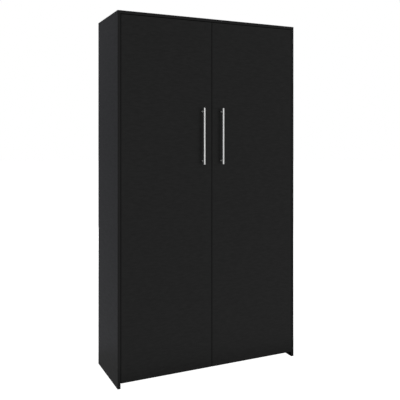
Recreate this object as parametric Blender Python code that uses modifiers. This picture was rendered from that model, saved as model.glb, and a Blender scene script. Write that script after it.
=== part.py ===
"""A two-door shoe cabinet, 1.84 m tall and 1.02 m wide: a flat-pack case of 15 mm laminated board that
stands on its side panels, with a centre partition, twelve shelves, two inset doors on concealed cup
hinges, and a round bar handle on each door.

Metres, +Z up. The doors face -Y and the left side is at -X. The origin is on the floor, under the
middle of the whole cabinet, handles included. Depths into the cabinet are counted from the plane of
the doors' outer faces, and "inwards" on a door is counted from its hinge edge.
"""

import math

import bmesh
import bpy
from mathutils import Matrix, Vector

# Case
WIDTH = 1.018
HEIGHT = 1.840
SIDE_DEPTH = 0.355
BOARD = 0.015
EDGE_ROUND = 0.0006
FIT = 0.0003  # left between pieces that touch

# Doors
DOOR_SIDE_GAP = 0.0025
DOOR_MIDDLE_GAP = 0.003
DOOR_TOP_GAP = 0.003
DOOR_BOTTOM = 0.026

# Inside
BOTTOM_UNDERSIDE = 0.030
BOTTOM_SETBACK = 0.024
PARTITION_SETBACK = 0.0165
SHELF_SETBACK = 0.030
SHELF_REAR_GAP = 0.002
SHELF_END_GAP = 0.0008
SHELVES_PER_SIDE = 6
LOWEST_SPACE = 0.242
SHELF_PITCH = 8 * 0.032  # eight holes of the 32 mm row

# Back
SHEET = 0.003
SHEET_INSET = 0.002
SHEET_PART = 0.0024  # between the two sheets
STRIP_FLANGE = 0.0014
STRIP_WIDTH = 0.018
STRIP_WEB = 0.0018

# Handles
BAR_RADIUS = 0.005
BAR_LENGTH = 0.292
BAR_CHAMFER = 0.0006
STANDOFF = 0.025  # door face to bar centre
POST_SPACING = 0.256
POST_RADIUS = 0.004
POST_BORE_RADIUS = 0.0023
POST_BORE_DEPTH = 0.010
HANDLE_HEIGHT = 1.2287
HANDLE_FROM_MIDDLE = 0.0545
SCREW_RADIUS = 0.002
SCREW_LENGTH = 0.0235
SCREW_HEAD_RADIUS = 0.004
SCREW_HEAD = 0.0024
SCREW_HEAD_CURVE = [(1.0, 0.4), (0.8, 0.85), (0.4, 1.0)]  # parts of the head's radius and height
DOOR_HOLE_RADIUS = 0.0024

# Hinges: the pin's centre and the cup, inwards from the door's edge and deep from its face
PIN_IN = 0.0135
PIN_DEEP = 0.0073
PIN_RADIUS = 0.0014
PIN_LENGTH = 0.0248
HINGE_FROM_DOOR_END = 0.100
CUP_IN = 0.022
CUP_BORE_RADIUS = 0.0175
CUP_BORE_DEPTH = 0.012
CUP_WALL = 0.001
CUP_FLOOR = 0.0007
CUP_RIM_RADIUS = 0.0195
CUP_RIM = 0.001
WING_LENGTH = 0.062
WING_WIDTH = 0.013
WING_OFFSET = 0.0055  # wing's middle from the cup's, away from the hinge edge
KNUCKLE_RADIUS = 0.0029
ARM_WIDTH = 0.013
ARM_STRIP = 0.0026
ARM_BEND = 0.0032
ARM_RISE_IN = 0.0312  # the part of the arm that climbs out of the cup
ARM_RISE_START = 0.0137
ARM_RISE_END = 0.0268
ARM_TURN_END = 0.0286  # where the arm has come back over the plate
CHEEK_CLEARANCE = 0.0004
PLATE_DEEP = 0.037  # door plane to the plate's screws
PLATE_BASE = 0.002
PLATE_BASE_HEIGHT = 0.052
PLATE_BASE_WIDTH = 0.014
RIDGE_HEIGHT = 0.010
RIDGE_TOP = 0.003  # inwards from the door's edge
RIDGE_START = 0.031
RIDGE_END = 0.071

# Door buffers, on the partition's front edge
BUFFER_RADIUS = 0.003
BUFFER_CHAMFER = 0.0003
BUFFER_FROM_MIDDLE = 0.0039
BUFFER_FROM_DOOR_END = 0.060

ROUND_STEPS = 32
SMALL_STEPS = 20
SMOOTH_ANGLE = math.radians(35)

TOTAL_DEPTH = STANDOFF + BAR_RADIUS + SIDE_DEPTH + FIT + SHEET + FIT + STRIP_FLANGE
FRONT = STANDOFF + BAR_RADIUS - TOTAL_DEPTH / 2
REAR = FRONT + SIDE_DEPTH
INNER_HALF = WIDTH / 2 - BOARD
TOP_UNDERSIDE = HEIGHT - BOARD
BOTTOM_TOP = BOTTOM_UNDERSIDE + BOARD
DOOR_TOP = TOP_UNDERSIDE - DOOR_TOP_GAP
DOOR_EDGE = INNER_HALF - DOOR_SIDE_GAP
SIDES = {"left": -1, "right": 1}


def clear_scene():
    for obj in list(bpy.data.objects):
        bpy.data.objects.remove(obj, do_unlink=True)


def new_collection(name):
    made = bpy.data.collections.new(name)
    bpy.context.scene.collection.children.link(made)
    return made


def new_material(name, colour, roughness, metallic=0.0):
    look = bpy.data.materials.new(name)
    look.use_nodes = True
    look.diffuse_color = (*colour, 1.0)
    shader = look.node_tree.nodes["Principled BSDF"]
    shader.inputs["Base Color"].default_value = (*colour, 1.0)
    shader.inputs["Roughness"].default_value = roughness
    shader.inputs["Metallic"].default_value = metallic
    return look


def put(name, mesh, look, location, turned_round=False):
    """A new part. One turned round is rotated half a turn about Y, which swaps left and right."""
    part = bpy.data.objects.new(name, mesh)
    cabinet.objects.link(part)
    if not mesh.materials:
        mesh.materials.append(look)
    part.location = location
    part.rotation_euler = (0, math.pi if turned_round else 0, 0)
    return part


def hang(part, axis):
    """Parents a part to an empty, and leaves it where it is."""
    part.parent = axis
    part.matrix_parent_inverse = Matrix.Translation(-axis.location)


def new_axis(name, location):
    axis = bpy.data.objects.new(name, None)
    axis.empty_display_type = "SINGLE_ARROW"
    axis.location = location
    cabinet.objects.link(axis)
    return axis


# ---- Shapes ---------------------------------------------------------------------------------------


def box_mesh(name, low, high, about=(0, 0, 0)):
    """A box between two corners, in coordinates that start at a given point."""
    mesh = bpy.data.meshes.new(name)
    size = Vector(high) - Vector(low)
    middle = (Vector(high) + Vector(low)) / 2 - Vector(about)
    shape = bmesh.new()
    bmesh.ops.create_cube(shape, size=1.0)
    bmesh.ops.scale(shape, vec=size, verts=shape.verts)
    bmesh.ops.translate(shape, vec=middle, verts=shape.verts)
    shape.to_mesh(mesh)
    shape.free()
    return mesh


def board(name, low, high, look, edge=EDGE_ROUND):
    """A rectangular panel with slightly rounded edges."""
    middle = (Vector(low) + Vector(high)) / 2
    part = put(name, box_mesh(name, low, high, middle), look, middle)
    ease = part.modifiers.new("eased_edges", "BEVEL")
    ease.width = edge
    ease.segments = 2
    return part


def cylinders_mesh(name, cylinders, steps=ROUND_STEPS):
    """Closed cylinders in one mesh, each given as its middle, direction, radius and length."""
    mesh = bpy.data.meshes.new(name)
    shape = bmesh.new()
    for middle, direction, radius, length in cylinders:
        turn = Vector((0, 0, 1)).rotation_difference(Vector(direction)).to_matrix().to_4x4()
        bmesh.ops.create_cone(
            shape,
            cap_ends=True,
            segments=steps,
            radius1=radius,
            radius2=radius,
            depth=length,
            matrix=Matrix.Translation(middle) @ turn,
        )
    shape.to_mesh(mesh)
    shape.free()
    return mesh


def helper(name, mesh):
    """A cutter, or a piece that is joined into another."""
    made = bpy.data.objects.new(name, mesh)
    made.hide_render = True
    made.display_type = "WIRE"
    cutters.objects.link(made)
    return made


def combine(part, other, operation):
    change = part.modifiers.new(other.name, "BOOLEAN")
    change.operation = operation
    change.object = other


def shape_object(name, data):
    made = bpy.data.objects.new(name, data)
    cutters.objects.link(made)
    return made


def settled_mesh(made, turn=Matrix()):
    """An object's mesh with its modifiers applied, turned, welded and shaded smooth. The object goes."""
    bpy.context.view_layer.update()
    graph = bpy.context.evaluated_depsgraph_get()
    mesh = bpy.data.meshes.new_from_object(made.evaluated_get(graph))
    mesh.name = made.name
    mesh.transform(turn)
    shape = bmesh.new()
    shape.from_mesh(mesh)
    bmesh.ops.remove_doubles(shape, verts=shape.verts, dist=1e-7)
    shape.to_mesh(mesh)
    shape.free()
    mesh.shade_smooth()
    mesh.set_sharp_from_angle(angle=SMOOTH_ANGLE)
    bpy.data.objects.remove(made, do_unlink=True)
    return mesh


def turned_object(name, profile, steps=ROUND_STEPS):
    """A solid of revolution about Z. The profile gives radius and height, from the top down."""
    mesh = bpy.data.meshes.new(name)
    mesh.from_pydata([(r, 0, z) for r, z in profile], [(i, i + 1) for i in range(len(profile) - 1)], [])
    made = shape_object(name, mesh)
    lathe = made.modifiers.new("lathe", "SCREW")
    lathe.angle = math.tau
    lathe.steps = steps
    lathe.render_steps = steps
    lathe.use_merge_vertices = True
    lathe.merge_threshold = 1e-6
    return made


def prism_object(name, outlines, thickness):
    """Flat outlines in X and Y, a later one a hole in the first, extruded evenly about Z = 0."""
    curve = bpy.data.curves.new(name, "CURVE")
    curve.dimensions = "2D"
    curve.fill_mode = "BOTH"
    curve.extrude = thickness / 2
    for outline in outlines:
        spline = curve.splines.new("POLY")
        spline.points.add(len(outline) - 1)
        for point, (x, y) in zip(spline.points, outline):
            point.co = (x, y, 0, 1)
        spline.use_cyclic_u = True
    return shape_object(name, curve)


def arc(centre, radius, start, end, steps):
    """Points along an arc, its angles in degrees."""
    angles = [math.radians(start + (end - start) * i / steps) for i in range(steps + 1)]
    return [(centre[0] + radius * math.cos(a), centre[1] + radius * math.sin(a)) for a in angles]


def rounded_path(corners, radius, steps=5):
    """A path through corners, each inner one replaced by an arc."""
    path = [Vector(corners[0])]
    for before, corner, after in zip(corners, corners[1:], corners[2:]):
        corner = Vector(corner)
        back = (Vector(before) - corner).normalized()
        ahead = (Vector(after) - corner).normalized()
        half = back.angle(ahead) / 2
        centre = corner + (back + ahead).normalized() * radius / math.sin(half)
        reach = radius / math.tan(half)
        start = corner + back * reach - centre
        end = corner + ahead * reach - centre
        for i in range(steps + 1):
            path.append(centre + start.lerp(end, i / steps).normalized() * radius)
    path.append(Vector(corners[-1]))
    return path


def ribbon_sides(path, half):
    """The two sides of a strip that follows a path: the one on its left, then the one on its right."""
    left, right = [], []
    for i, point in enumerate(path):
        ahead = (path[min(i + 1, len(path) - 1)] - path[max(i - 1, 0)]).normalized()
        across = Vector((-ahead.y, ahead.x)) * half
        left.append(point + across)
        right.append(point - across)
    return left, right


# ---- Case -----------------------------------------------------------------------------------------


def make_case():
    for side, sign in SIDES.items():
        inner, outer = sorted((sign * INNER_HALF, sign * WIDTH / 2))
        board(f"side_panel_{side}", (inner, FRONT, 0), (outer, REAR, TOP_UNDERSIDE - FIT), laminate)
    board("top_panel", (-WIDTH / 2, FRONT, TOP_UNDERSIDE), (WIDTH / 2, REAR, HEIGHT), laminate)
    end = INNER_HALF - FIT
    board(
        "bottom_panel",
        (-end, FRONT + BOTTOM_SETBACK, BOTTOM_UNDERSIDE),
        (end, REAR, BOTTOM_TOP),
        laminate,
    )
    board(
        "centre_partition",
        (-BOARD / 2, FRONT + PARTITION_SETBACK, BOTTOM_TOP + FIT),
        (BOARD / 2, REAR, TOP_UNDERSIDE - FIT),
        laminate,
    )


def make_shelves():
    near = BOARD / 2 + SHELF_END_GAP
    far = INNER_HALF - SHELF_END_GAP
    for side, sign in SIDES.items():
        low_x, high_x = sorted((sign * near, sign * far))
        for i in range(SHELVES_PER_SIDE):
            z = BOTTOM_TOP + LOWEST_SPACE + i * SHELF_PITCH
            low = (low_x, FRONT + SHELF_SETBACK, z)
            high = (high_x, REAR - SHELF_REAR_GAP, z + BOARD)
            board(f"shelf_{side}_{i + 1}", low, high, laminate)


def make_back():
    front = REAR + FIT
    for side, sign in SIDES.items():
        low_x, high_x = sorted((sign * SHEET_PART / 2, sign * (WIDTH / 2 - SHEET_INSET)))
        low = (low_x, front, BOTTOM_UNDERSIDE + SHEET_INSET)
        high = (high_x, front + SHEET, HEIGHT - SHEET_INSET)
        board(f"back_sheet_{side}", low, high, hardboard, EDGE_ROUND / 2)
    make_joint_strip(front + SHEET + FIT)


def make_joint_strip(behind):
    """A T-section strip that covers the joint of the two sheets, its web between them."""
    outer, web = STRIP_WIDTH / 2, STRIP_WEB / 2
    web_end = -(SHEET + FIT)
    outline = [
        (-outer, STRIP_FLANGE),
        (-outer, 0),
        (-web, 0),
        (-web, web_end),
        (web, web_end),
        (web, 0),
        (outer, 0),
        (outer, STRIP_FLANGE),
    ]
    low = BOTTOM_UNDERSIDE + 2 * SHEET_INSET
    high = HEIGHT - 2 * SHEET_INSET
    mesh = settled_mesh(prism_object("back_joint_strip", [outline], high - low))
    put("back_joint_strip", mesh, plastic, (0, behind, (low + high) / 2))


def make_buffers():
    thickness = PARTITION_SETBACK - BOARD - 2 * FIT
    profile = [
        (0, thickness),
        (BUFFER_RADIUS - 2 * BUFFER_CHAMFER, thickness),
        (BUFFER_RADIUS, thickness - BUFFER_CHAMFER),
        (BUFFER_RADIUS, 0),
        (0, 0),
    ]
    made = turned_object("door_buffer", profile, SMALL_STEPS)
    mesh = settled_mesh(made, Matrix.Rotation(math.pi / 2, 4, "X"))
    y = FRONT + PARTITION_SETBACK - FIT
    heights = {"upper": DOOR_TOP - BUFFER_FROM_DOOR_END, "lower": DOOR_BOTTOM + BUFFER_FROM_DOOR_END}
    for side, sign in SIDES.items():
        for place, z in heights.items():
            put(f"door_buffer_{side}_{place}", mesh, rubber, (sign * BUFFER_FROM_MIDDLE, y, z))


# ---- Doors and handles ----------------------------------------------------------------------------


def hinge_heights():
    return {
        "top": DOOR_TOP - HINGE_FROM_DOOR_END,
        "middle": (DOOR_TOP + DOOR_BOTTOM) / 2,
        "bottom": DOOR_BOTTOM + HINGE_FROM_DOOR_END,
    }


def post_heights():
    return {"upper": HANDLE_HEIGHT + POST_SPACING / 2, "lower": HANDLE_HEIGHT - POST_SPACING / 2}


def make_door(side, sign, axis):
    """The door panel, with the bores for its hinge cups and the holes for its handle screws."""
    low_x, high_x = sorted((sign * DOOR_MIDDLE_GAP / 2, sign * DOOR_EDGE))
    door = board(f"door_{side}", (low_x, FRONT, DOOR_BOTTOM), (high_x, FRONT + BOARD, DOOR_TOP), laminate)
    inner_face = FRONT + BOARD
    bores = [
        ((sign * (DOOR_EDGE - CUP_IN), inner_face, z), (0, 1, 0), CUP_BORE_RADIUS, 2 * CUP_BORE_DEPTH)
        for z in hinge_heights().values()
    ]
    holes = [
        ((sign * HANDLE_FROM_MIDDLE, FRONT + BOARD / 2, z), (0, 1, 0), DOOR_HOLE_RADIUS, 2 * BOARD)
        for z in post_heights().values()
    ]
    cutter = helper(f"door_{side}_bores", cylinders_mesh(f"door_{side}_bores", bores + holes))
    combine(door, cutter, "DIFFERENCE")
    hang(cutter, axis)
    hang(door, axis)


def bar_mesh():
    half, round_off = BAR_LENGTH / 2, BAR_RADIUS - BAR_CHAMFER
    profile = [
        (0, half),
        (round_off, half),
        (BAR_RADIUS, half - BAR_CHAMFER),
        (BAR_RADIUS, BAR_CHAMFER - half),
        (round_off, -half),
        (0, -half),
    ]
    return settled_mesh(turned_object("handle_bar", profile))


def post_mesh():
    """A post with a bore for its screw, and an end hollowed to fit the bar. It points to -Y."""
    reach = STANDOFF - BAR_RADIUS / 3
    profile = [
        (0, reach),
        (POST_RADIUS, reach),
        (POST_RADIUS, FIT),
        (POST_BORE_RADIUS, FIT),
        (POST_BORE_RADIUS, POST_BORE_DEPTH),
        (0, POST_BORE_DEPTH),
    ]
    post = turned_object("handle_post", profile)
    saddle = [((0, 0, STANDOFF), (0, 1, 0), BAR_RADIUS + FIT, 4 * BAR_RADIUS)]
    cutter = helper("post_saddle", cylinders_mesh("post_saddle", saddle))
    combine(post, cutter, "DIFFERENCE")
    return settled_mesh(post, Matrix.Rotation(math.pi / 2, 4, "X"))


def screw_mesh():
    """A pan-head screw whose head seats at Y = 0 and whose shank points to -Y."""
    tip = SCREW_RADIUS * 0.7
    profile = [
        (0, SCREW_LENGTH),
        (tip, SCREW_LENGTH),
        (SCREW_RADIUS, SCREW_LENGTH - tip / 2),
        (SCREW_RADIUS, 0),
        (SCREW_HEAD_RADIUS, 0),
    ]
    profile += [(SCREW_HEAD_RADIUS * r, -SCREW_HEAD * h) for r, h in SCREW_HEAD_CURVE]
    profile += [(0, -SCREW_HEAD)]
    made = turned_object("handle_screw", profile, SMALL_STEPS)
    return settled_mesh(made, Matrix.Rotation(math.pi / 2, 4, "X"))


def make_handle(side, sign, axis, meshes):
    x = sign * HANDLE_FROM_MIDDLE
    pieces = [put(f"handle_{side}_bar", meshes["bar"], steel, (x, FRONT - STANDOFF, HANDLE_HEIGHT))]
    for place, z in post_heights().items():
        pieces.append(put(f"handle_{side}_post_{place}", meshes["post"], steel, (x, FRONT, z)))
        head_seat = FRONT + BOARD + FIT
        pieces.append(put(f"handle_screw_{side}_{place}", meshes["screw"], zinc, (x, head_seat, z)))
    for piece in pieces:
        hang(piece, axis)


# ---- Hinges: shapes about the pin, +X inwards on the door, +Y deep into the cabinet ----------------


def from_pin(inwards, deep):
    return (inwards - PIN_IN, deep - PIN_DEEP)


def cup_mesh():
    """The cup with its rim and screw wings, hollowed from behind."""
    radius = CUP_BORE_RADIUS - FIT
    floor = BOARD - CUP_BORE_DEPTH + FIT
    mouth = BOARD + FIT + CUP_RIM
    profile = [(0, floor), (radius, floor), (radius, BOARD + FIT), (CUP_RIM_RADIUS, BOARD + FIT)]
    profile += [(CUP_RIM_RADIUS, mouth), (0, mouth)]
    profile = [(r, -deep) for r, deep in profile]
    cup = turned_object("hinge_cup", profile)

    inset = CUP_RIM / 10  # keeps the wings' faces out of the rim's planes
    wing_low = (WING_OFFSET - WING_WIDTH / 2, -WING_LENGTH / 2, inset - mouth)
    wing_high = (WING_OFFSET + WING_WIDTH / 2, WING_LENGTH / 2, -BOARD - FIT - inset)
    wings = helper("cup_wings", box_mesh("cup_wings", wing_low, wing_high))
    corners = wings.modifiers.new("round_ends", "BEVEL")
    corners.affect = "VERTICES"
    corners.width = WING_WIDTH / 4
    combine(cup, wings, "UNION")

    hollow_floor = floor + CUP_FLOOR
    hollow = [((0, 0, -hollow_floor - BOARD / 2), (0, 0, 1), radius - CUP_WALL, BOARD)]
    cutter = helper("cup_hollow", cylinders_mesh("cup_hollow", hollow))
    combine(cup, cutter, "DIFFERENCE")

    stand = Matrix.Translation((CUP_IN - PIN_IN, -PIN_DEEP, 0)) @ Matrix.Rotation(math.pi / 2, 4, "X")
    return settled_mesh(cup, stand)


def arm_mesh():
    """The arm: a knuckle round the pin, a strip that climbs out of the cup and turns back past the
    door's edge, and a channel over the plate's ridge."""
    strip_middle = RIDGE_TOP + FIT + ARM_STRIP / 2
    corners = [
        (PIN_IN, PIN_DEEP),
        (ARM_RISE_IN, ARM_RISE_START),
        (ARM_RISE_IN, ARM_RISE_END),
        (strip_middle, ARM_TURN_END),
        (strip_middle, RIDGE_END),
    ]
    path = rounded_path([from_pin(*corner) for corner in corners], ARM_BEND)
    half = ARM_STRIP / 2
    start = math.sqrt(KNUCKLE_RADIUS**2 - half**2)
    heading = math.degrees(math.atan2(path[1].y, path[1].x))
    path[0] = path[1].normalized() * start
    left, right = ribbon_sides(path, half)
    opening = math.degrees(math.asin(half / KNUCKLE_RADIUS))
    knuckle = arc((0, 0), KNUCKLE_RADIUS, heading + opening, heading + 360 - opening, SMALL_STEPS)
    outline = knuckle[1:-1] + right + left[::-1]
    eye = arc((0, 0), PIN_RADIUS + FIT, 0, 360, SMALL_STEPS)[:-1]
    arm = prism_object("hinge_arm", [outline, eye], ARM_WIDTH)
    made = helper("arm_strip", settled_mesh(arm))

    cheek = (ARM_WIDTH - RIDGE_HEIGHT) / 2 - FIT
    cheek_edge = CHEEK_CLEARANCE - DOOR_SIDE_GAP + PLATE_BASE
    inset = FIT / 3  # keeps the channel's faces out of the strip's planes
    low = (*from_pin(cheek_edge, RIDGE_START + ARM_STRIP), -ARM_WIDTH / 2 + inset)
    high = (*from_pin(strip_middle, RIDGE_END - inset), ARM_WIDTH / 2 - inset)
    channel = helper("arm_channel", box_mesh("arm_channel", low, high))
    slot_low = (*from_pin(cheek_edge - BOARD, RIDGE_START - BOARD), -ARM_WIDTH / 2 + cheek)
    slot_high = (*from_pin(RIDGE_TOP + FIT, RIDGE_END + BOARD), ARM_WIDTH / 2 - cheek)
    slot = helper("arm_slot", box_mesh("arm_slot", slot_low, slot_high))
    combine(channel, slot, "DIFFERENCE")
    whole = shape_object("hinge_arm", made.data.copy())
    combine(whole, channel, "UNION")
    return settled_mesh(whole)


def plate_mesh():
    """The mounting plate: a flat base across, and the ridge that carries the arm."""
    panel = -DOOR_SIDE_GAP + FIT
    half_width, half_height = PLATE_BASE_WIDTH / 2, PLATE_BASE_HEIGHT / 2
    base_low = (*from_pin(panel, PLATE_DEEP - half_width), -half_height)
    base_high = (*from_pin(panel + PLATE_BASE, PLATE_DEEP + half_width), half_height)
    plate = shape_object("hinge_plate", box_mesh("hinge_plate", base_low, base_high))
    ease = plate.modifiers.new("eased_edges", "BEVEL")
    ease.width = EDGE_ROUND
    ridge_low = (*from_pin(panel + FIT, RIDGE_START), -RIDGE_HEIGHT / 2)
    ridge_high = (*from_pin(RIDGE_TOP, RIDGE_END), RIDGE_HEIGHT / 2)
    ridge = helper("plate_ridge", box_mesh("plate_ridge", ridge_low, ridge_high))
    combine(plate, ridge, "UNION")
    return settled_mesh(plate)


def pin_mesh():
    half, chamfer = PIN_LENGTH / 2, PIN_RADIUS / 5
    profile = [
        (0, half),
        (PIN_RADIUS - chamfer, half),
        (PIN_RADIUS, half - chamfer),
        (PIN_RADIUS, chamfer - half),
        (PIN_RADIUS - chamfer, -half),
        (0, -half),
    ]
    return settled_mesh(turned_object("hinge_pin", profile, SMALL_STEPS))


def make_hinges(side, sign, axis, meshes):
    x = sign * (DOOR_EDGE - PIN_IN)
    y = FRONT + PIN_DEEP
    looks = {"cup": zinc, "pin": steel, "arm": zinc, "plate": zinc}
    for place, z in hinge_heights().items():
        for piece, look in looks.items():
            made = put(f"hinge_{side}_{place}_{piece}", meshes[piece], look, (x, y, z), sign > 0)
            if piece in ("cup", "pin"):
                hang(made, axis)


def make_doors():
    meshes = {
        "bar": bar_mesh(),
        "post": post_mesh(),
        "screw": screw_mesh(),
        "cup": cup_mesh(),
        "arm": arm_mesh(),
        "plate": plate_mesh(),
        "pin": pin_mesh(),
    }
    for side, sign in SIDES.items():
        axis = new_axis(f"door_{side}_axis", (sign * (DOOR_EDGE - PIN_IN), FRONT + PIN_DEEP, 0))
        make_door(side, sign, axis)
        make_handle(side, sign, axis, meshes)
        make_hinges(side, sign, axis, meshes)


clear_scene()
cabinet = new_collection("shoe_cabinet")
cutters = new_collection("cutters")
laminate = new_material("black_laminate", (0.014, 0.014, 0.015), 0.45)
hardboard = new_material("brown_hardboard", (0.16, 0.095, 0.05), 0.75)
plastic = new_material("black_plastic", (0.02, 0.02, 0.02), 0.5)
rubber = new_material("soft_rubber", (0.05, 0.05, 0.05), 0.8)
steel = new_material("satin_steel", (0.56, 0.57, 0.58), 0.3, 1.0)
zinc = new_material("plated_steel", (0.5, 0.5, 0.5), 0.35, 1.0)

make_case()
make_shelves()
make_back()
make_buffers()
make_doors()
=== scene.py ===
"""The looks of the shoe cabinet: black laminated board, satin steel bar handles, plated hinges, and the
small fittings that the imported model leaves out, in a plain white studio.

Metres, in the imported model's frame: the doors face -Y, +Z is up, the origin is on the floor.
"""

import math

import bmesh
import bpy
from mathutils import Matrix, Vector


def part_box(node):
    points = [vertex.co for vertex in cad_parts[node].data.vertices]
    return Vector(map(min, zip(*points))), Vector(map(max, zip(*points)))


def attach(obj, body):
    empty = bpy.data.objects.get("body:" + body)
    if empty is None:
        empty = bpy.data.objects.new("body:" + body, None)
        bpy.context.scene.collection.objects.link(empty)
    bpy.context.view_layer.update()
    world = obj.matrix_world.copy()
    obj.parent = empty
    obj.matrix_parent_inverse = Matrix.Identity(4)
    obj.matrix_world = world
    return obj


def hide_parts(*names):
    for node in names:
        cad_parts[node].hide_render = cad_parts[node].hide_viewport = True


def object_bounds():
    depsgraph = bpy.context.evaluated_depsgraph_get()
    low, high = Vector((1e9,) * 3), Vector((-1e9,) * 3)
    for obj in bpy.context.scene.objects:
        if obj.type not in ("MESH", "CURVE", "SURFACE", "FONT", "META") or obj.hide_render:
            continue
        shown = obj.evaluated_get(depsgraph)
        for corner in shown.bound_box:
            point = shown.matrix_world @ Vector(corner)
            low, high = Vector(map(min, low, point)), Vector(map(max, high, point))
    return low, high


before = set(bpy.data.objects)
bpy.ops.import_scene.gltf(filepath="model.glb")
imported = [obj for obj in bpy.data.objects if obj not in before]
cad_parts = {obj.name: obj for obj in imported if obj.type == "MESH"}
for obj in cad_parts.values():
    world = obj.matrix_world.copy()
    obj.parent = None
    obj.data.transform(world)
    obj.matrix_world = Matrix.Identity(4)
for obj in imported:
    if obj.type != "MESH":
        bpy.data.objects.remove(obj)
cad_low, cad_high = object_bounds()

SIDES = {"left": -1, "right": 1}
HINGES = ("top", "middle", "bottom")
SHELVES = range(1, 7)
FIXED_SHELF = 3  # the others rest on pins

# Camera, from the middle of the doors' outer plane on the floor
EYE = Vector((-1.3238, -2.6862, 1.219))
YAW = 25.045
LENS = 51.63
SENSOR = 36.0
LOWERED = -0.1549  # the lens shift that keeps the verticals upright

# Light: an even part, and lobes as (direction towards the light, colour)
EVEN_LIGHT = (0.120, 0.1205, 0.1235)
LOBES = [
    ((0, -1, 0), (0.33, 0.33, 0.33)),
    ((0, 1, 0), (0.0935, 0.0955, 0.109)),
    ((1, 0, 0), (0.17, 0.17, 0.17)),
    ((-1, 0, 0), (0.077, 0.079, 0.085)),
    ((0, 0, 1), (0.10, 0.10, 0.10)),
    ((0, 0, -1), (0.19, 0.19, 0.19)),
    ((0.6, -0.7, -0.3), (0.21, 0.21, 0.21)),
]

# Room: a white floor and backdrop, and dimmer patches of floor close round the case
ROOM_RADIUS = 28.0
FLOOR_GLOW = 0.985
FLOOR_DROP = 0.0002  # the floor's depth below the feet
SHADE_REACH = 0.17  # how far the patches reach out from the case
DIM_BESIDE = 0.22  # their glow beside and behind the case
DIM_BEFORE = 0.42  # and before it

# Laminated board
EASE = 0.0006  # rounding of the bored panels' edges
BAND = 0.0008  # edge band's thickness
SEAM = 0.00012  # half the seam's width
ARRIS = 0.0016  # how far in from an arris the laminate is lightened, partly as wear and partly as a painted highlight
SKIN = 0.0003  # laminate's thickness
PORES = (45, 1400)  # marks in a metre, along the grain and across it
STREAKS = (32, 130)
RELIEF = 0.00004  # how deep the grain's marks are
FACE_DARK = (0.0056, 0.0057, 0.0056)
FACE_LIGHT = (0.0098, 0.0099, 0.0097)
PORE = (0.005, 0.005, 0.005)
EDGE_BAND = (0.0060, 0.0060, 0.0060)
# Lighter colour along the arrises: partly wear, partly a painted highlight
ARRIS_WEAR_AND_HIGHLIGHT = (0.02, 0.02, 0.02)
SEAM_DARK = (0.003, 0.003, 0.003)
CHIPS_DARK = (0.16, 0.10, 0.055)
CHIPS_LIGHT = (0.34, 0.24, 0.15)

# Shelf pins in bored rows
BORE_RADIUS = 0.0025
BORE_DEPTH = 0.010
BORE_PITCH = 0.032
BORES_EACH_WAY = 2  # above and below each pin's own
ROW_FROM_EDGE = 0.060  # rows of bores, from the doors' plane and from the panels' rear edge
PIN_SHANK_RADIUS = 0.0024
PIN_SHANK = 0.0068
PIN_HEAD_RADIUS = 0.0035
PIN_HEAD = 0.008
PIN_DROP = 0.002  # pin's axis below the shelf that it carries

# Cam covers and nails
CAM_COVER_RADIUS = 0.0088
CAM_COVER = 0.0009
CAM_FROM_END = 0.034
NAIL_HEAD_RADIUS = 0.0026
NAIL_HEAD = 0.0006
NAIL_PITCH = 0.150
NAIL_FROM_STRIP = 0.030

# Handles
BAR_CHAMFER = 0.0006
POST_CHAMFER = 0.0003
POST_BORE_RADIUS = 0.0022
POST_BORE_DEPTH = 0.010
SCREW_RADIUS = 0.0019
SCREW_LENGTH = 0.0232
THREAD_PITCH = 0.0007
PLAIN_TURNS = 4  # pitches of the shank that have no thread

# Hinges
CUP_WALL = 0.0010
CUP_OVERHANG = 0.0023  # rim beyond the cup's wall
CUP_FLOOR = 0.0007
CUP_FILLET = 0.0018
WING_WIDTH = 0.013
WING_OFFSET = 0.0055  # wings' middle from the cup's, away from the door's edge
WING = 0.0011
WING_SCREW_SPACING = 0.048
PLATE_BASE = 0.0018
PLATE_BASE_WIDTH = 0.014
PLATE_SCREW_SPACING = 0.032
RIDGE_WIDTH = 0.010
RIDGE_FROM_END = 0.001
ARM_OVER_RIDGE = 0.0029
ARM_SCREWS_FROM_END = (0.009, 0.027)
FASTENER_RADIUS = 0.0034
FASTENER_HEAD = 0.0012
SHEET_EASE = 0.00025

ROUND_STEPS = 64
SMALL_STEPS = 24
SMOOTH_ANGLE = math.radians(35)
TOUCH = 0.00005  # left between pieces that meet

FACE_MINUS_Y = Matrix.Rotation(math.pi / 2, 4, "X")
FACE_PLUS_Y = Matrix.Rotation(-math.pi / 2, 4, "X")
FACE_PLUS_X = Matrix.Rotation(math.pi / 2, 4, "Y")
FACE_MINUS_X = Matrix.Rotation(-math.pi / 2, 4, "Y")
FACE_DOWN = Matrix.Rotation(math.pi, 4, "X")

door_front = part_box("door_left")[0].y


# ---- Materials ------------------------------------------------------------------------------------


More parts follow.
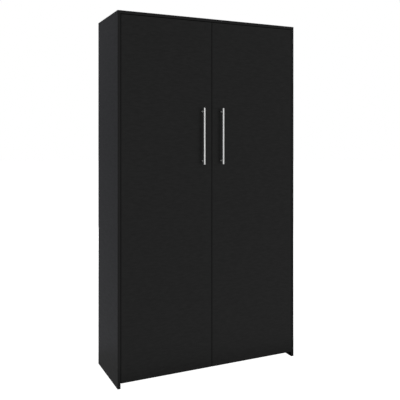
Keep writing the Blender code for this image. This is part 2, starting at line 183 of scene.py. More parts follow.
class Tree:
    """A material's node tree, with short calls for the nodes that this script uses."""

    def __init__(self, name, **shader):
        self.material = bpy.data.materials.new(name)
        self.material.use_nodes = True
        self.nodes = self.material.node_tree.nodes
        self.links = self.material.node_tree.links
        self.shader = self.nodes["Principled BSDF"]
        for socket, value in shader.items():
            self.shader.inputs[socket.replace("_", " ")].default_value = value
        self.place = self.add("TexCoord").outputs["Object"]

    def add(self, kind, inputs=None, **settings):
        node = self.nodes.new("ShaderNode" + kind)
        for name, value in settings.items():
            setattr(node, name, value)
        for name, value in (inputs or {}).items():
            self.feed(node.inputs[name], value)
        return node

    def feed(self, socket, value):
        if isinstance(value, bpy.types.NodeSocket):
            self.links.new(value, socket)
        else:
            socket.default_value = value

    def noise(self, scale, detail=2.0, offset=(0, 0, 0)):
        """Noise from 0 to 1. Scale gives how many features a metre holds along X, Y and Z."""
        moved = self.add("Mapping", {"Vector": self.place, "Scale": scale, "Location": offset})
        made = self.add("TexNoise", {"Vector": moved.outputs[0], "Scale": 1.0, "Detail": detail})
        return made.outputs[0]

    def math(self, operation, a, b=0.0, c=0.0):
        return self.add("Math", {0: a, 1: b, 2: c}, operation=operation).outputs[0]

    def spread(self, value, low, high, to_low=0.0, to_high=1.0):
        """A value between low and high, carried to a new range and held inside it."""
        inputs = {"Value": value, "From Min": low, "From Max": high, "To Min": to_low, "To Max": to_high}
        return self.add("MapRange", inputs).outputs[0]

    def inside(self, value, low, high):
        """How far a value is from the nearer of two limits."""
        return self.math("MINIMUM", self.math("SUBTRACT", value, low), self.math("SUBTRACT", high, value))

    def blend(self, share, first, second):
        """A colour from first, at share 0, to second, at share 1."""
        first, second = ((*c, 1.0) if isinstance(c, tuple) else c for c in (first, second))
        return self.add("Mix", {0: share, 6: first, 7: second}, data_type="RGBA").outputs[2]

    def colour(self, value):
        self.feed(self.shader.inputs["Base Color"], value)

    def rough(self, value):
        self.feed(self.shader.inputs["Roughness"], value)

    def bump(self, height, depth, strength=1.0):
        made = self.add("Bump", {"Height": height, "Distance": depth, "Strength": strength})
        self.links.new(made.outputs[0], self.shader.inputs["Normal"])


def along(axis, with_it, across):
    """Three scales: one along an axis, and another across it."""
    return tuple(with_it if i == axis else across for i in range(3))


def laminate(node, grain):
    """Black melamine laminate with a fine pressed grain along one axis, edge bands with a hairline
    seam, arrises lightened partly by wear and partly as a painted highlight, and raw chipboard inside the
    bores."""
    low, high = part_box(node)
    size = high - low
    thin = min(range(3), key=lambda i: size[i])
    edge_axes = [i for i in range(3) if i != thin]
    tree = Tree(node + "_laminate", Specular_IOR_Level=0.18)
    offset = tuple(7.3 * (low + high))
    pores = tree.noise(along(grain, *PORES), 2, offset)
    streaks = tree.noise(along(grain, *STREAKS), 3, offset)
    clouds = tree.noise((3, 3, 3), 2, offset)

    places = tree.add("SeparateXYZ", {0: tree.place}).outputs
    inside = [tree.inside(places[i], low[i], high[i]) for i in range(3)]
    to_face = inside[thin]
    to_edge = tree.math("MINIMUM", *(inside[i] for i in edge_axes))
    to_arris = tree.math("MAXIMUM", to_face, to_edge)
    band = tree.math("LESS_THAN", to_edge, BAND)
    seam = tree.math("COMPARE", to_edge, BAND, SEAM)
    # Mask for the arrises: lighter colour that is partly wear and partly a painted highlight, and a slightly
    # smoother finish
    wear_and_highlight = tree.math("MULTIPLY", tree.spread(to_arris, ARRIS, 0.0), tree.spread(clouds, 0.35, 0.65))
    under_skin = tree.math("GREATER_THAN", to_face, SKIN)
    bored = tree.math("MULTIPLY", under_skin, tree.math("GREATER_THAN", to_edge, ARRIS))

    face = tree.blend(tree.spread(streaks, 0.3, 0.7), FACE_DARK, FACE_LIGHT)
    face = tree.blend(tree.math("MULTIPLY", tree.spread(pores, 0.62, 0.75), 0.5), face, PORE)
    banded = tree.blend(band, face, EDGE_BAND)
    # Arrises lightened: partly wear, partly a painted highlight
    with_wear_and_highlight = tree.blend(tree.math("MULTIPLY", wear_and_highlight, 0.35), banded, ARRIS_WEAR_AND_HIGHLIGHT)
    seamed = tree.blend(seam, with_wear_and_highlight, SEAM_DARK)
    chips = tree.noise((900, 900, 900), 3, offset)
    raw = tree.blend(tree.spread(chips, 0.35, 0.65), CHIPS_DARK, CHIPS_LIGHT)
    tree.colour(tree.blend(bored, seamed, raw))
    roughness = tree.spread(streaks, 0.3, 0.7, 0.35, 0.41)
    tree.rough(tree.math("SUBTRACT", roughness, tree.math("MULTIPLY", wear_and_highlight, 0.08)))
    height = tree.math("ADD", tree.math("MULTIPLY", pores, 0.6), tree.math("MULTIPLY", streaks, 0.1))
    tree.bump(tree.math("SUBTRACT", height, seam), RELIEF)
    return tree.material


def hardboard(node):
    """Thin brown hardboard behind, printed black on the face towards the shelves."""
    low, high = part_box(node)
    tree = Tree(node + "_hardboard", Specular_IOR_Level=0.25)
    fibres = tree.noise((420, 420, 420), 4)
    shades = tree.noise((9, 9, 3), 3)
    darker = (0.085, 0.046, 0.021)
    brown = tree.blend(tree.spread(fibres, 0.35, 0.65), (0.110, 0.058, 0.024), (0.190, 0.112, 0.052))
    brown = tree.blend(tree.math("MULTIPLY", tree.spread(shades, 0.4, 0.7), 0.3), brown, darker)
    deep = tree.add("SeparateXYZ", {0: tree.place}).outputs[1]
    printed = tree.math("LESS_THAN", deep, low.y + 0.1 * (high.y - low.y))
    tree.colour(tree.blend(printed, brown, (0.0105, 0.0105, 0.0105)))
    tree.rough(tree.spread(fibres, 0.3, 0.7, 0.62, 0.78))
    tree.bump(fibres, 0.00006)
    return tree.material


def brushed_steel(name, grain):
    """Satin steel, brushed along one axis."""
    tree = Tree(name, Metallic=1.0)
    brush = tree.noise(along(grain, 30, 2600), 3)
    shades = tree.noise((25, 25, 12), 2)
    colour = tree.blend(tree.spread(brush, 0.3, 0.7), (0.88, 0.88, 0.87), (0.97, 0.97, 0.96))
    tree.colour(tree.blend(tree.math("MULTIPLY", shades, 0.25), colour, (0.86, 0.855, 0.84)))
    tree.rough(tree.spread(brush, 0.3, 0.7, 0.36, 0.46))
    tree.bump(brush, 0.00002)
    return tree.material


def satin_casting(name):
    """The handles' posts: die-cast, with a fine matt silver finish."""
    tree = Tree(name, Metallic=0.45)
    grain = tree.noise((1800, 1800, 1800), 2)
    shades = tree.noise((120, 120, 120), 2)
    colour = tree.blend(tree.spread(grain, 0.3, 0.7), (0.66, 0.66, 0.65), (0.78, 0.78, 0.77))
    tree.colour(tree.blend(tree.math("MULTIPLY", shades, 0.3), colour, (0.62, 0.615, 0.60)))
    tree.rough(tree.spread(grain, 0.3, 0.7, 0.42, 0.52))
    tree.bump(grain, 0.00002)
    return tree.material


def plated_steel(name):
    """Nickel-plated pressed steel: bright, with faint clouds and fine drawing marks."""
    tree = Tree(name, Metallic=1.0)
    clouds = tree.noise((110, 110, 110), 3)
    marks = tree.noise((900, 900, 150), 2)
    tree.colour(tree.blend(tree.spread(clouds, 0.2, 0.8), (0.56, 0.55, 0.53), (0.64, 0.63, 0.60)))
    tree.rough(tree.spread(clouds, 0.2, 0.8, 0.24, 0.34))
    tree.bump(marks, 0.00002)
    return tree.material


def moulded(name, dark, light, roughness):
    """Matt moulded plastic or rubber, with a fine spark-eroded grain."""
    tree = Tree(name, Specular_IOR_Level=0.3)
    grain = tree.noise((1500, 1500, 1500), 2)
    tree.colour(tree.blend(tree.spread(grain, 0.3, 0.7), dark, light))
    tree.rough(tree.spread(grain, 0.3, 0.7, roughness - 0.06, roughness + 0.06))
    tree.bump(grain, 0.00004)
    return tree.material


def paint(piece, material):
    piece.data.materials.clear()
    piece.data.materials.append(material)


# ---- Shapes ---------------------------------------------------------------------------------------


def middle_of(node):
    low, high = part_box(node)
    return (low + high) / 2


def finished(shape, name, turn=Matrix()):
    """A mesh from a bmesh, turned, with its faces out and its round parts smooth."""
    bmesh.ops.transform(shape, matrix=turn, verts=shape.verts)
    bmesh.ops.recalc_face_normals(shape, faces=shape.faces)
    mesh = bpy.data.meshes.new(name)
    shape.to_mesh(mesh)
    shape.free()
    mesh.shade_smooth()
    mesh.set_sharp_from_angle(angle=SMOOTH_ANGLE)
    return mesh


def combined(mesh, other, operation="DIFFERENCE"):
    """A closed mesh that is cut by another, or joined with it."""
    part, tool = (bpy.data.objects.new(m.name, m) for m in (mesh, other))
    for obj in (part, tool):
        bpy.context.scene.collection.objects.link(obj)
    change = part.modifiers.new("combine", "BOOLEAN")
    change.operation = operation
    change.object = tool
    graph = bpy.context.evaluated_depsgraph_get()
    made = bpy.data.meshes.new_from_object(part.evaluated_get(graph))
    made.name = mesh.name
    for obj in (part, tool):
        bpy.data.objects.remove(obj)
    made.shade_smooth()
    made.set_sharp_from_angle(angle=SMOOTH_ANGLE)
    return made


def copies(mesh, places):
    """One mesh of several copies of another, each turned and moved by its own matrix."""
    shape = bmesh.new()
    for place in places:
        moved = mesh.copy()
        moved.transform(place)
        shape.from_mesh(moved)
        bpy.data.meshes.remove(moved)
    return finished(shape, mesh.name)


def turned(mesh, turn):
    made = mesh.copy()
    made.transform(turn)
    return made


def arc(centre, radius, start, end, steps=4):
    """Points along an arc, its angles in degrees."""
    angles = [math.radians(start + (end - start) * i / steps) for i in range(steps + 1)]
    return [(centre[0] + radius * math.cos(a), centre[1] + radius * math.sin(a)) for a in angles]


def lathe(name, profile, steps=ROUND_STEPS, turn=Matrix()):
    """A solid turned about Z from (radius, height) points that start and end on the axis."""
    shape = bmesh.new()
    line = [shape.verts.new((r, 0, z)) for r, z in profile]
    edges = [shape.edges.new(pair) for pair in zip(line, line[1:])]
    geometry = [*line, *edges]
    bmesh.ops.spin(shape, geom=geometry, axis=(0, 0, 1), cent=(0, 0, 0), angle=math.tau, steps=steps)
    bmesh.ops.remove_doubles(shape, verts=shape.verts, dist=1e-7)
    return finished(shape, name, turn)


def dome(radius, height, drop, parts):
    """Points out over a dome from its crown, at parts of its radius. Its rim would lie the given part
    of its height below the crown."""
    return [(radius * part, height * (1 - drop * part * part)) for part in parts]


def round_edges(shape, edges, ease, segments=2, clamp=False):
    bmesh.ops.bevel(
        shape,
        geom=edges,
        offset=ease,
        segments=segments,
        profile=0.5,
        affect="EDGES",
        clamp_overlap=clamp,
    )


def block(name, low, high, ease=0.0, segments=2):
    """A box between two corners, its edges eased."""
    shape = bmesh.new()
    bmesh.ops.create_cube(shape, size=1.0)
    bmesh.ops.scale(shape, vec=Vector(high) - Vector(low), verts=shape.verts)
    bmesh.ops.translate(shape, vec=(Vector(high) + Vector(low)) / 2, verts=shape.verts)
    if ease:
        round_edges(shape, shape.edges, ease, segments)
    return finished(shape, name)


def round_ended(name, length, width, thickness, ease):
    """A flat strip with half-round ends, along Z, its thickness from Y = 0 up, its top edge eased."""
    reach = length / 2 - width / 2
    outline = arc((0, reach), width / 2, 0, 180, 12) + arc((0, -reach), width / 2, 180, 360, 12)
    shape = bmesh.new()
    base = shape.faces.new([shape.verts.new((x, 0, z)) for x, z in outline])
    bmesh.ops.recalc_face_normals(shape, faces=[base])
    raised = bmesh.ops.extrude_face_region(shape, geom=[base])
    top = [v for v in raised["geom"] if isinstance(v, bmesh.types.BMVert)]
    bmesh.ops.translate(shape, vec=(0, thickness, 0), verts=top)
    rim = [e for e in shape.edges if all(v in top for v in e.verts)]
    round_edges(shape, rim, ease)
    return finished(shape, name)


def crossed_head(name, radius, height):
    """A raised screw head from Z = 0 up, with a cross recess."""
    angles = (0.35, 0.7, 1.05, 1.4)
    profile = [(0, height)]
    profile += [(radius * math.sin(a), height * (0.35 + 0.65 * math.cos(a))) for a in angles]
    profile += [(radius, height * 0.35), (radius, 0), (0, 0)]
    head = lathe(name, profile, SMALL_STEPS)
    slot, depth = radius * 0.13, height * 0.3
    for reach_x, reach_y in ((radius * 0.55, slot), (slot, radius * 0.55)):
        cutter = block("recess", (-reach_x, -reach_y, depth), (reach_x, reach_y, 2 * height))
        head = combined(head, cutter)
    return head


def add_piece(name, mesh, body, material, place=(0, 0, 0), stands_for=()):
    """A visible piece that rides on a body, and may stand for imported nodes."""
    piece = bpy.data.objects.new(name, mesh)
    piece.location = place
    bpy.context.scene.collection.objects.link(piece)
    paint(piece, material)
    flat = piece.modifiers.new("flat_faces_stay_flat", "WEIGHTED_NORMAL")
    flat.keep_sharp = True
    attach(piece, body)
    if stands_for:
        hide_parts(*stands_for)
    return piece


# ---- Case -----------------------------------------------------------------------------------------


def row_depths():
    """Where the front and rear rows of bores stand, along Y."""
    low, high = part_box("side_panel_left")
    return (low.y + ROW_FROM_EDGE, high.y - ROW_FROM_EDGE)


def pinned_shelves():
    return [number for number in SHELVES if number != FIXED_SHELF]


def make_bored_panels():
    """The panels that carry the shelves, with rows of bores for the pins."""
    for node in ("side_panel_left", "side_panel_right", "centre_partition"):
        low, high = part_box(node)
        x = min(max(0.0, low.x), high.x)  # the face towards the shelves, or the partition's middle
        shape = bmesh.new()
        for number in pinned_shelves():
            pin_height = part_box(f"shelf_left_{number}")[0].z - PIN_DROP
            for step in range(-BORES_EACH_WAY, BORES_EACH_WAY + 1):
                for y in row_depths():
                    bmesh.ops.create_cone(
                        shape,
                        cap_ends=True,
                        segments=SMALL_STEPS,
                        radius1=BORE_RADIUS,
                        radius2=BORE_RADIUS,
                        depth=2 * BORE_DEPTH,
                        matrix=Matrix.Translation((x, y, pin_height + step * BORE_PITCH)) @ FACE_PLUS_X,
                    )
        bores = finished(shape, "bores")
        panel = combined(block(node + "_bored", low, high, EASE, 3), bores)
        add_piece(node + "_bored", panel, "carcass", laminate(node, 1), stands_for=[node])


def make_shelf_pins(material):
    """Four plated pins under each loose shelf, their heads cut flat where the shelf rests."""
    tip = 0.001
    profile = [(0, PIN_HEAD), (PIN_HEAD_RADIUS - tip, PIN_HEAD)]
    profile += arc((PIN_HEAD_RADIUS - tip, PIN_HEAD - tip), tip, 90, 0)[1:]
    profile += [(PIN_HEAD_RADIUS, 0), (PIN_SHANK_RADIUS, 0)]
    profile += [(PIN_SHANK_RADIUS, tip / 2 - PIN_SHANK), (PIN_SHANK_RADIUS - tip / 2, -PIN_SHANK)]
    profile.append((0, -PIN_SHANK))
    pin = lathe("shelf_pins", profile, SMALL_STEPS, FACE_PLUS_X)
    size = PIN_HEAD + PIN_HEAD_RADIUS
    over = block("over", (0.0, -size, PIN_DROP - TOUCH), (size, size, size))
    pin = combined(pin, over)
    half_turn = Matrix.Rotation(math.pi, 4, "Z")
    for side in SIDES:
        walls = sorted((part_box(f"side_panel_{side}"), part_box("centre_partition")), key=lambda box: box[0].x)
        left_wall, right_wall = walls[0][1].x, walls[1][0].x
        for number in pinned_shelves():
            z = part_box(f"shelf_{side}_{number}")[0].z - PIN_DROP
            places = []
            for y in row_depths():
                places.append(Matrix.Translation((left_wall + TOUCH, y, z)))
                places.append(Matrix.Translation((right_wall - TOUCH, y, z)) @ half_turn)
            pins = copies(pin, places)
            add_piece(f"shelf_pins_{side}_{number}", pins, "carcass", material)


def make_cam_covers(material):
    """Caps over the cam fittings: under the fixed shelves and the bottom, on the side panels just under
    the top, and at both ends of the partition."""
    radius, height = CAM_COVER_RADIUS, CAM_COVER
    profile = dome(radius, height, 0.45, (0.0, 0.35, 0.65, 0.85, 0.97))
    profile += [(radius, height * 0.3), (radius, TOUCH), (0, TOUCH)]
    cap = lathe("cam_covers", profile, 40)
    front, rear = row_depths()

    for side, sign in SIDES.items():
        low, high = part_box(f"shelf_{side}_{FIXED_SHELF}")
        ends = (low.x + CAM_FROM_END, high.x - CAM_FROM_END)
        places = [Matrix.Translation((x, y, low.z)) @ FACE_DOWN for x in ends for y in (front, rear)]
        add_piece(f"fixed_shelf_cam_covers_{side}", copies(cap, places), "carcass", material)

        low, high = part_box("bottom_panel")
        x = sign * (high.x - CAM_FROM_END)
        places = [Matrix.Translation((x, y, low.z)) @ FACE_DOWN for y in (front, rear)]
        add_piece(f"bottom_cam_covers_{side}", copies(cap, places), "carcass", material)

        low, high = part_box(f"side_panel_{side}")
        x, facing = (high.x, FACE_PLUS_X) if sign < 0 else (low.x, FACE_MINUS_X)
        z = high.z - CAM_FROM_END
        places = [Matrix.Translation((x, y, z)) @ facing for y in (front + BORE_PITCH, rear)]
        add_piece(f"top_cam_covers_{side}", copies(cap, places), "carcass", material)

    low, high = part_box("centre_partition")
    heights = (low.z + CAM_FROM_END, high.z - CAM_FROM_END)
    places = [Matrix.Translation((low.x, y, z)) @ FACE_MINUS_X for z in heights for y in (front, rear)]
    add_piece("partition_cam_covers", copies(cap, places), "carcass", material)


def even_steps(start, end, pitch):
    """Places from start to end, evenly spaced and about a pitch apart."""
    count = max(1, round(abs(end - start) / pitch))
    return [start + (end - start) * i / count for i in range(count + 1)]


def make_nails(material):
    """Nail heads along the back sheets' outer edges, tops and bottoms, and along the fixed shelves."""
    head = [(0, NAIL_HEAD), (0.6 * NAIL_HEAD_RADIUS, 0.85 * NAIL_HEAD)]
    head += [(NAIL_HEAD_RADIUS, 0.3 * NAIL_HEAD), (NAIL_HEAD_RADIUS, TOUCH), (0, TOUCH)]
    nail = lathe("nails", head, 20, FACE_PLUS_Y)
    bottom, top = middle_of("bottom_panel").z, middle_of("top_panel").z
    shelf = middle_of(f"shelf_left_{FIXED_SHELF}").z
    for side, sign in SIDES.items():
        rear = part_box(f"back_sheet_{side}")[1].y
        outer = middle_of(f"side_panel_{side}").x
        inner = sign * (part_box("back_joint_strip")[1].x + NAIL_FROM_STRIP)
        places = [(outer, z) for z in even_steps(bottom, top, NAIL_PITCH)]
        places += [(x, z) for x in even_steps(outer, inner, NAIL_PITCH)[1:] for z in (bottom, shelf, top)]
        heads = copies(nail, [Matrix.Translation((x, rear, z)) for x, z in places])
        add_piece(f"back_nails_{side}", heads, "carcass", material)


# ---- Handles --------------------------------------------------------------------------------------


def bar_mesh():
    low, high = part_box("handle_left_bar")
    radius, half = (high.x - low.x) / 2, (high.z - low.z) / 2
    inner = radius - BAR_CHAMFER
    upper = arc((inner, half - BAR_CHAMFER), BAR_CHAMFER, 90, 0)
    lower = [(r, -z) for r, z in reversed(upper)]
    return lathe("handle_bar", [(0, half), *upper, *lower, (0, -half)])


def post_mesh():
    """A post that stands on the door at Y = 0 and points to -Y, bored for its screw, its end hollowed
    to fit the bar."""
    low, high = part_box("handle_left_post_upper")
    bar_low, bar_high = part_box("handle_left_bar")
    radius, reach = (high.x - low.x) / 2, door_front - low.y
    profile = [(0, reach), (radius, reach), (radius, POST_CHAMFER), (radius - POST_CHAMFER, TOUCH)]
    profile += [(POST_BORE_RADIUS, TOUCH), (POST_BORE_RADIUS, POST_BORE_DEPTH), (0, POST_BORE_DEPTH)]
    post = lathe("handle_post", profile, ROUND_STEPS, FACE_MINUS_Y)
    saddle_radius = (bar_high.x - bar_low.x) / 2 + TOUCH
    saddle = lathe("saddle", [(0, reach), (saddle_radius, reach), (saddle_radius, -reach), (0, -reach)])
    saddle.transform(Matrix.Translation((0, middle_of("handle_left_bar").y - door_front, 0)))
    return combined(post, saddle)


def handle_screw_mesh():
    """A raised-head screw whose head seats at Y = 0 and whose ringed shank points to -Y."""
    low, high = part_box("handle_screw_left_upper")
    radius, head = (high.x - low.x) / 2, high.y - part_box("door_left")[1].y
    top = crossed_head("handle_screw", radius, head)
    top.transform(FACE_PLUS_Y)
    rings = int(SCREW_LENGTH / THREAD_PITCH) - PLAIN_TURNS
    profile = [(0, SCREW_LENGTH), (SCREW_RADIUS * 0.7, SCREW_LENGTH)]
    for ring in range(rings):
        z = SCREW_LENGTH - (ring + 1) * THREAD_PITCH
        profile += [(SCREW_RADIUS, z), (SCREW_RADIUS * 0.84, z - THREAD_PITCH / 2)]
    profile += [(SCREW_RADIUS * 0.9, THREAD_PITCH), (SCREW_RADIUS * 0.9, -head * 0.1), (0, -head * 0.1)]
    shank = lathe("shank", profile, SMALL_STEPS, FACE_MINUS_Y)
    return combined(top, shank, "UNION")


def make_handles(steel, casting, plated):
    bar, post, screw = bar_mesh(), post_mesh(), handle_screw_mesh()
    for side in SIDES:
        body, node = f"door_{side}", f"handle_{side}_bar"
        add_piece(f"{side}_handle_bar", bar, body, steel, middle_of(node), [node])
        for place in ("upper", "lower"):
            node = f"handle_{side}_post_{place}"
            x, _, z = middle_of(node)
            name = f"{side}_handle_post_{place}"
            add_piece(name, post, body, casting, (x, door_front, z), [node])
            node = f"handle_screw_{side}_{place}"
            x, _, z = middle_of(node)
            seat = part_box(f"door_{side}")[1].y + TOUCH
            name = f"{side}_handle_screw_{place}"
            add_piece(name, screw, body, plated, (x, seat, z), [node])


def make_buffers(material):
    """Thin domed pads on the partition's front edge."""
    low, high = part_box("door_buffer_left_upper")
    radius, height = (high.x - low.x) / 2, high.y - low.y
    profile = dome(radius, height, 0.3, (0.0, 0.4, 0.7, 0.9))
    profile += [(radius, height * 0.45), (radius, 0), (0, 0)]
    pad = lathe("door_buffer", profile, 32, FACE_MINUS_Y)
    for side in SIDES:
        for place in ("upper", "lower"):
            node = f"door_buffer_{side}_{place}"
            x, _, z = middle_of(node)
            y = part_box(node)[1].y
            name = f"{side}_buffer_{place}"
            add_piece(name, pad, "carcass", material, (x, y, z), [node])


# ---- Hinges, each shape about its pin as on the left door: +X inwards, +Y deep into the cabinet -----


def about_pin(node="cup"):
    """A node's box on the left door's top hinge, measured from the hinge's pin."""
    low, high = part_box(f"hinge_left_top_{node}")
    pin = middle_of("hinge_left_top_pin")
    return low - pin, high - pin


def door_seat():
    """How deep the pieces on the door's inner face start, measured from the hinge's pin."""
    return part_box("door_left")[1].y - middle_of("hinge_left_top_pin").y + TOUCH


def cup_mesh():
    """The cup: a drawn shell with a rolled rim, and the wings that its screws hold."""
    low, high = about_pin("cup")
    centre, rim = (low.x + high.x) / 2, (high.x - low.x) / 2
    wall = rim - CUP_OVERHANG
    floor, mouth = low.y, high.y
    seat = door_seat()
    roll = (mouth - seat) / 2
    profile = [(0, floor), (wall - CUP_FILLET, floor)]
    profile += arc((wall - CUP_FILLET, floor + CUP_FILLET), CUP_FILLET, -90, 0)[1:]
    profile += [(wall, seat), (rim - roll, seat)]
    profile += arc((rim - roll, seat + roll), roll, -90, 90, 6)[1:]
    profile += [(0, mouth)]
    stand = Matrix.Translation((centre, 0, 0)) @ FACE_PLUS_Y
    cup = lathe("hinge_cup", profile, ROUND_STEPS, stand)

    wings = round_ended("wings", high.z - low.z, WING_WIDTH, WING, SHEET_EASE)
    wings.transform(Matrix.Translation((centre + WING_OFFSET, seat, 0)))
    cup = combined(cup, wings, "UNION")

    inside, fillet = wall - CUP_WALL, CUP_FILLET - CUP_WALL / 2
    hollow = [(0, floor + CUP_FLOOR), (inside - fillet, floor + CUP_FLOOR)]
    hollow += arc((inside - fillet, floor + CUP_FLOOR + fillet), fillet, -90, 0)[1:]
    hollow += [(inside, 2 * mouth), (0, 2 * mouth)]
    return combined(cup, lathe("hollow", hollow, ROUND_STEPS, stand))


def pin_mesh():
    _, high = about_pin("pin")
    radius, half = high.x, high.z
    end = arc((radius * 0.75, half - radius / 4), radius / 4, 90, 0, 3)
    return lathe("hinge_pin", [(0, half), *end, *((r, -z) for r, z in reversed(end)), (0, -half)], 32)


def eased_copy(node, name, ease):
    """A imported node's shape about the hinge's pin, its flat faces made whole and its edges eased."""
    shape = bmesh.new()
    shape.from_mesh(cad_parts[f"hinge_left_top_{node}"].data)
    bmesh.ops.remove_doubles(shape, verts=shape.verts, dist=1e-6)
    bmesh.ops.dissolve_limit(shape, angle_limit=math.radians(1), verts=shape.verts, edges=shape.edges)
    sharp = [e for e in shape.edges if e.calc_face_angle(0) > SMOOTH_ANGLE]
    round_edges(shape, sharp, ease, clamp=True)
    return finished(shape, name, Matrix.Translation(-middle_of("hinge_left_top_pin")))


def plate_mesh():
    """The mounting plate: a flat strip that is screwed to the side panel, and the ridge that the arm
    slides on."""
    low, high = about_pin("plate")
    base = round_ended("hinge_plate", high.z - low.z, PLATE_BASE_WIDTH, PLATE_BASE, SHEET_EASE)
    stand = Matrix.Rotation(-math.pi / 2, 4, "Z")
    base.transform(Matrix.Translation((low.x, low.y + PLATE_BASE_WIDTH / 2, 0)) @ stand)
    ridge_low = (low.x + PLATE_BASE / 3, low.y + RIDGE_FROM_END, -RIDGE_WIDTH / 2)
    ridge_high = (high.x, high.y, RIDGE_WIDTH / 2)
    return combined(base, block("ridge", ridge_low, ridge_high, SHEET_EASE), "UNION")


def hinge_screws():
    """Screw heads of one hinge: the cup's, in the door, and the plate's and arm's, in the case."""
    head = crossed_head("hinge_screws", FASTENER_RADIUS, FASTENER_HEAD)
    low, high = about_pin("cup")
    x = (low.x + high.x) / 2 + WING_OFFSET
    seat = door_seat() + WING
    spread = (WING_SCREW_SPACING / 2, -WING_SCREW_SPACING / 2)
    in_door = copies(head, [Matrix.Translation((x, seat, z)) @ FACE_PLUS_Y for z in spread])

    low, high = about_pin("plate")
    y = low.y + PLATE_BASE_WIDTH / 2
    spread = (PLATE_SCREW_SPACING / 2, -PLATE_SCREW_SPACING / 2)
    places = [Matrix.Translation((low.x + PLATE_BASE, y, z)) @ FACE_PLUS_X for z in spread]
    for from_end in ARM_SCREWS_FROM_END:
        places.append(Matrix.Translation((high.x + ARM_OVER_RIDGE, high.y - from_end, 0)) @ FACE_PLUS_X)
    return in_door, copies(head, places)


def make_hinges(plated):
    meshes = {
        "cup": cup_mesh(),
        "pin": pin_mesh(),
        "arm": eased_copy("arm", "hinge_arm", SHEET_EASE),
        "plate": plate_mesh(),
    }
    in_door, in_case = hinge_screws()
    half_turn = Matrix.Rotation(math.pi, 4, "Y")
    for side, sign in SIDES.items():
        if sign > 0:
            meshes = {part: turned(mesh, half_turn) for part, mesh in meshes.items()}
            in_door, in_case = turned(in_door, half_turn), turned(in_case, half_turn)
        for place in HINGES:
            pin = middle_of(f"hinge_{side}_{place}_pin")
            for part, mesh in meshes.items():
                body = f"door_{side}" if part in ("cup", "pin") else "carcass"
                node = f"hinge_{side}_{place}_{part}"
                name = f"{side}_{place}_hinge_{part}"
                add_piece(name, mesh, body, plated, pin, [node])
            add_piece(f"{side}_{place}_cup_screws", in_door, f"door_{side}", plated, pin)
            add_piece(f"{side}_{place}_plate_screws", in_case, "carcass", plated, pin)


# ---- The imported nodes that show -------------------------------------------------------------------


def paint_boards(plastic):
    for name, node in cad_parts.items():
        if name.startswith("back_sheet"):
            paint(node, hardboard(name))
        elif name == "back_joint_strip":
            paint(node, plastic)
        elif name.startswith(("top_panel", "bottom_panel", "shelf", "door_left", "door_right")):
            paint(node, laminate(name, 0))


def make_object():
    plastic = moulded("black_plastic", (0.010, 0.010, 0.010), (0.016, 0.016, 0.016), 0.45)
    rubber = moulded("buffer_rubber", (0.03, 0.03, 0.03), (0.05, 0.05, 0.05), 0.75)
    plated = plated_steel("plated_steel")
    paint_boards(plastic)
    make_bored_panels()
    make_shelf_pins(plated)
    make_cam_covers(plastic)
    make_nails(plated)
    make_handles(brushed_steel("handle_steel", 2), satin_casting("post_casting"), plated)
    make_buffers(rubber)
    make_hinges(plated)


# ---- Studio ---------------------------------------------------------------------------------------


def stage_material(name, lit, glow):
    """A matt grey of a given lightness that also glows by itself."""
    material = bpy.data.materials.new(name)
    material.use_nodes = True
    shader = material.node_tree.nodes["Principled BSDF"]
    shader.inputs["Base Color"].default_value = (lit, lit, lit, 1)
    shader.inputs["Roughness"].default_value = 0.9
    shader.inputs["Specular IOR Level"].default_value = 0.0
    shader.inputs["Emission Color"].default_value = (1, 1, 1, 1)
    shader.inputs["Emission Strength"].default_value = glow
    return material


def seen_only_by_camera(obj):
    obj.visible_diffuse = False
    obj.visible_glossy = False
    obj.visible_transmission = False
    obj.visible_shadow = False


def stage_piece(name, mesh, lit, glow, height=0.0):
    mesh.materials.append(stage_material(name, lit, glow))
    piece = bpy.data.objects.new(name, mesh)
    piece.location.z = height
    bpy.context.scene.collection.objects.link(piece)
    return piece


def make_floor():
    mesh = bpy.data.meshes.new("floor")
    shape = bmesh.new()
    bmesh.ops.create_circle(shape, cap_ends=True, segments=96, radius=ROOM_RADIUS)
    shape.to_mesh(mesh)
    shape.free()
    seen_only_by_camera(stage_piece("floor", mesh, 0.5, FLOOR_GLOW, cad_low.z - FLOOR_DROP))


def make_backdrop():
    mesh = bpy.data.meshes.new("backdrop")
    shape = bmesh.new()
    bmesh.ops.create_uvsphere(shape, u_segments=64, v_segments=32, radius=ROOM_RADIUS)
    bmesh.ops.reverse_faces(shape, faces=shape.faces)
    shape.to_mesh(mesh)
    shape.free()
    seen_only_by_camera(stage_piece("backdrop", mesh, 0.0, 1.0))


def floor_patch(name, low, high, glow, below):
    """A level sheet over the floor. The camera looks through it, and light from below stops at it."""
    mesh = bpy.data.meshes.new(name)
    corners = [(low.x, low.y, 0), (high.x, low.y, 0), (high.x, high.y, 0), (low.x, high.y, 0)]
    mesh.from_pydata(corners, [], [(0, 1, 2, 3)])
    patch = stage_piece(name, mesh, 0.0, glow, cad_low.z - below)
    patch.visible_camera = False


def make_floor_shade():
    """What the boards see of the floor: it is dark under the case, and dimmed close round it."""
    low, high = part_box("side_panel_left")[0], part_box("side_panel_right")[1]
    front_edge = Vector((high.x, low.y, 0))
    aside, outwards = Vector((SHADE_REACH, 0, 0)), Vector((0, SHADE_REACH, 0))
    floor_patch("shade_under", low, high, 0.0, TOUCH)
    floor_patch("shade_beside", low - aside, high + aside + outwards, DIM_BESIDE, 2 * TOUCH)
    floor_patch("shade_before", low - aside - outwards, front_edge + aside, DIM_BEFORE, 2 * TOUCH)


def softbox(name, place, target, size, power, in_reflections=True):
    light = bpy.data.lights.new(name, "AREA")
    light.size = size
    light.energy = power
    obj = bpy.data.objects.new(name, light)
    obj.location = place
    obj.rotation_euler = (Vector(target) - Vector(place)).to_track_quat("-Z", "Y").to_euler()
    obj.visible_glossy = in_reflections
    bpy.context.scene.collection.objects.link(obj)


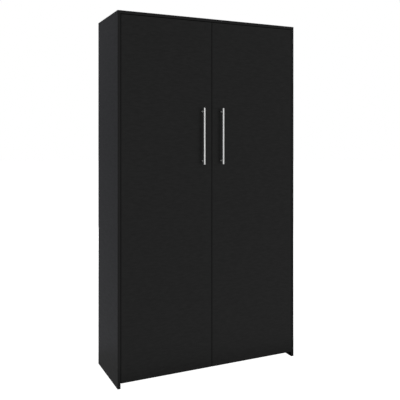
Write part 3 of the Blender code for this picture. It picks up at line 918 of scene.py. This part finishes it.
def make_world():
    """Soft light from all round, as in a white tent: a dim even part, and broad lobes that are each
    brightest along one direction and fade to nothing a quarter turn away."""
    world = bpy.data.worlds.new("studio")
    world.use_nodes = True
    nodes, links = world.node_tree.nodes, world.node_tree.links
    heading = nodes.new("ShaderNodeTexCoord").outputs["Generated"]
    total = None
    for direction, colour in LOBES:
        facing = nodes.new("ShaderNodeVectorMath")
        facing.operation = "DOT_PRODUCT"
        facing.inputs[1].default_value = Vector(direction).normalized()
        links.new(heading, facing.inputs[0])
        held = nodes.new("ShaderNodeMath")
        held.operation = "MAXIMUM"
        links.new(facing.outputs["Value"], held.inputs[0])
        held.inputs[1].default_value = 0.0
        lobe = nodes.new("ShaderNodeVectorMath")
        lobe.operation = "SCALE"
        lobe.inputs[0].default_value = colour
        links.new(held.outputs[0], lobe.inputs["Scale"])
        added = nodes.new("ShaderNodeVectorMath")
        links.new(lobe.outputs[0], added.inputs[0])
        if total is None:
            added.inputs[1].default_value = EVEN_LIGHT
        else:
            links.new(total, added.inputs[1])
        total = added.outputs[0]
    links.new(total, nodes["Background"].inputs["Color"])
    bpy.context.scene.world = world


def make_light():
    make_world()
    middle = (cad_low + cad_high) / 2
    softbox("front_softbox", (1.1, -5.0, 1.2), middle, 1.6, 45, in_reflections=False)
    softbox("fill_softbox", (-2.6, -5.2, 2.2), middle, 2.4, 25)
    softbox("rear_softbox", (0.8, 4.5, 2.0), middle, 3.0, 120, in_reflections=False)


def make_camera():
    """A level camera to the left of the doors, turned to the right."""
    data = bpy.data.cameras.new("camera")
    data.lens = LENS
    data.sensor_width = SENSOR
    data.shift_y = LOWERED
    camera = bpy.data.objects.new("camera", data)
    camera.location = Vector((0, door_front, cad_low.z)) + EYE
    camera.rotation_euler = (math.radians(90), 0, math.radians(-YAW))
    bpy.context.scene.collection.objects.link(camera)
    bpy.context.scene.camera = camera


make_object()
make_floor()
make_backdrop()
make_floor_shade()
make_light()
make_camera()
bpy.context.scene.view_settings.view_transform = "Standard"
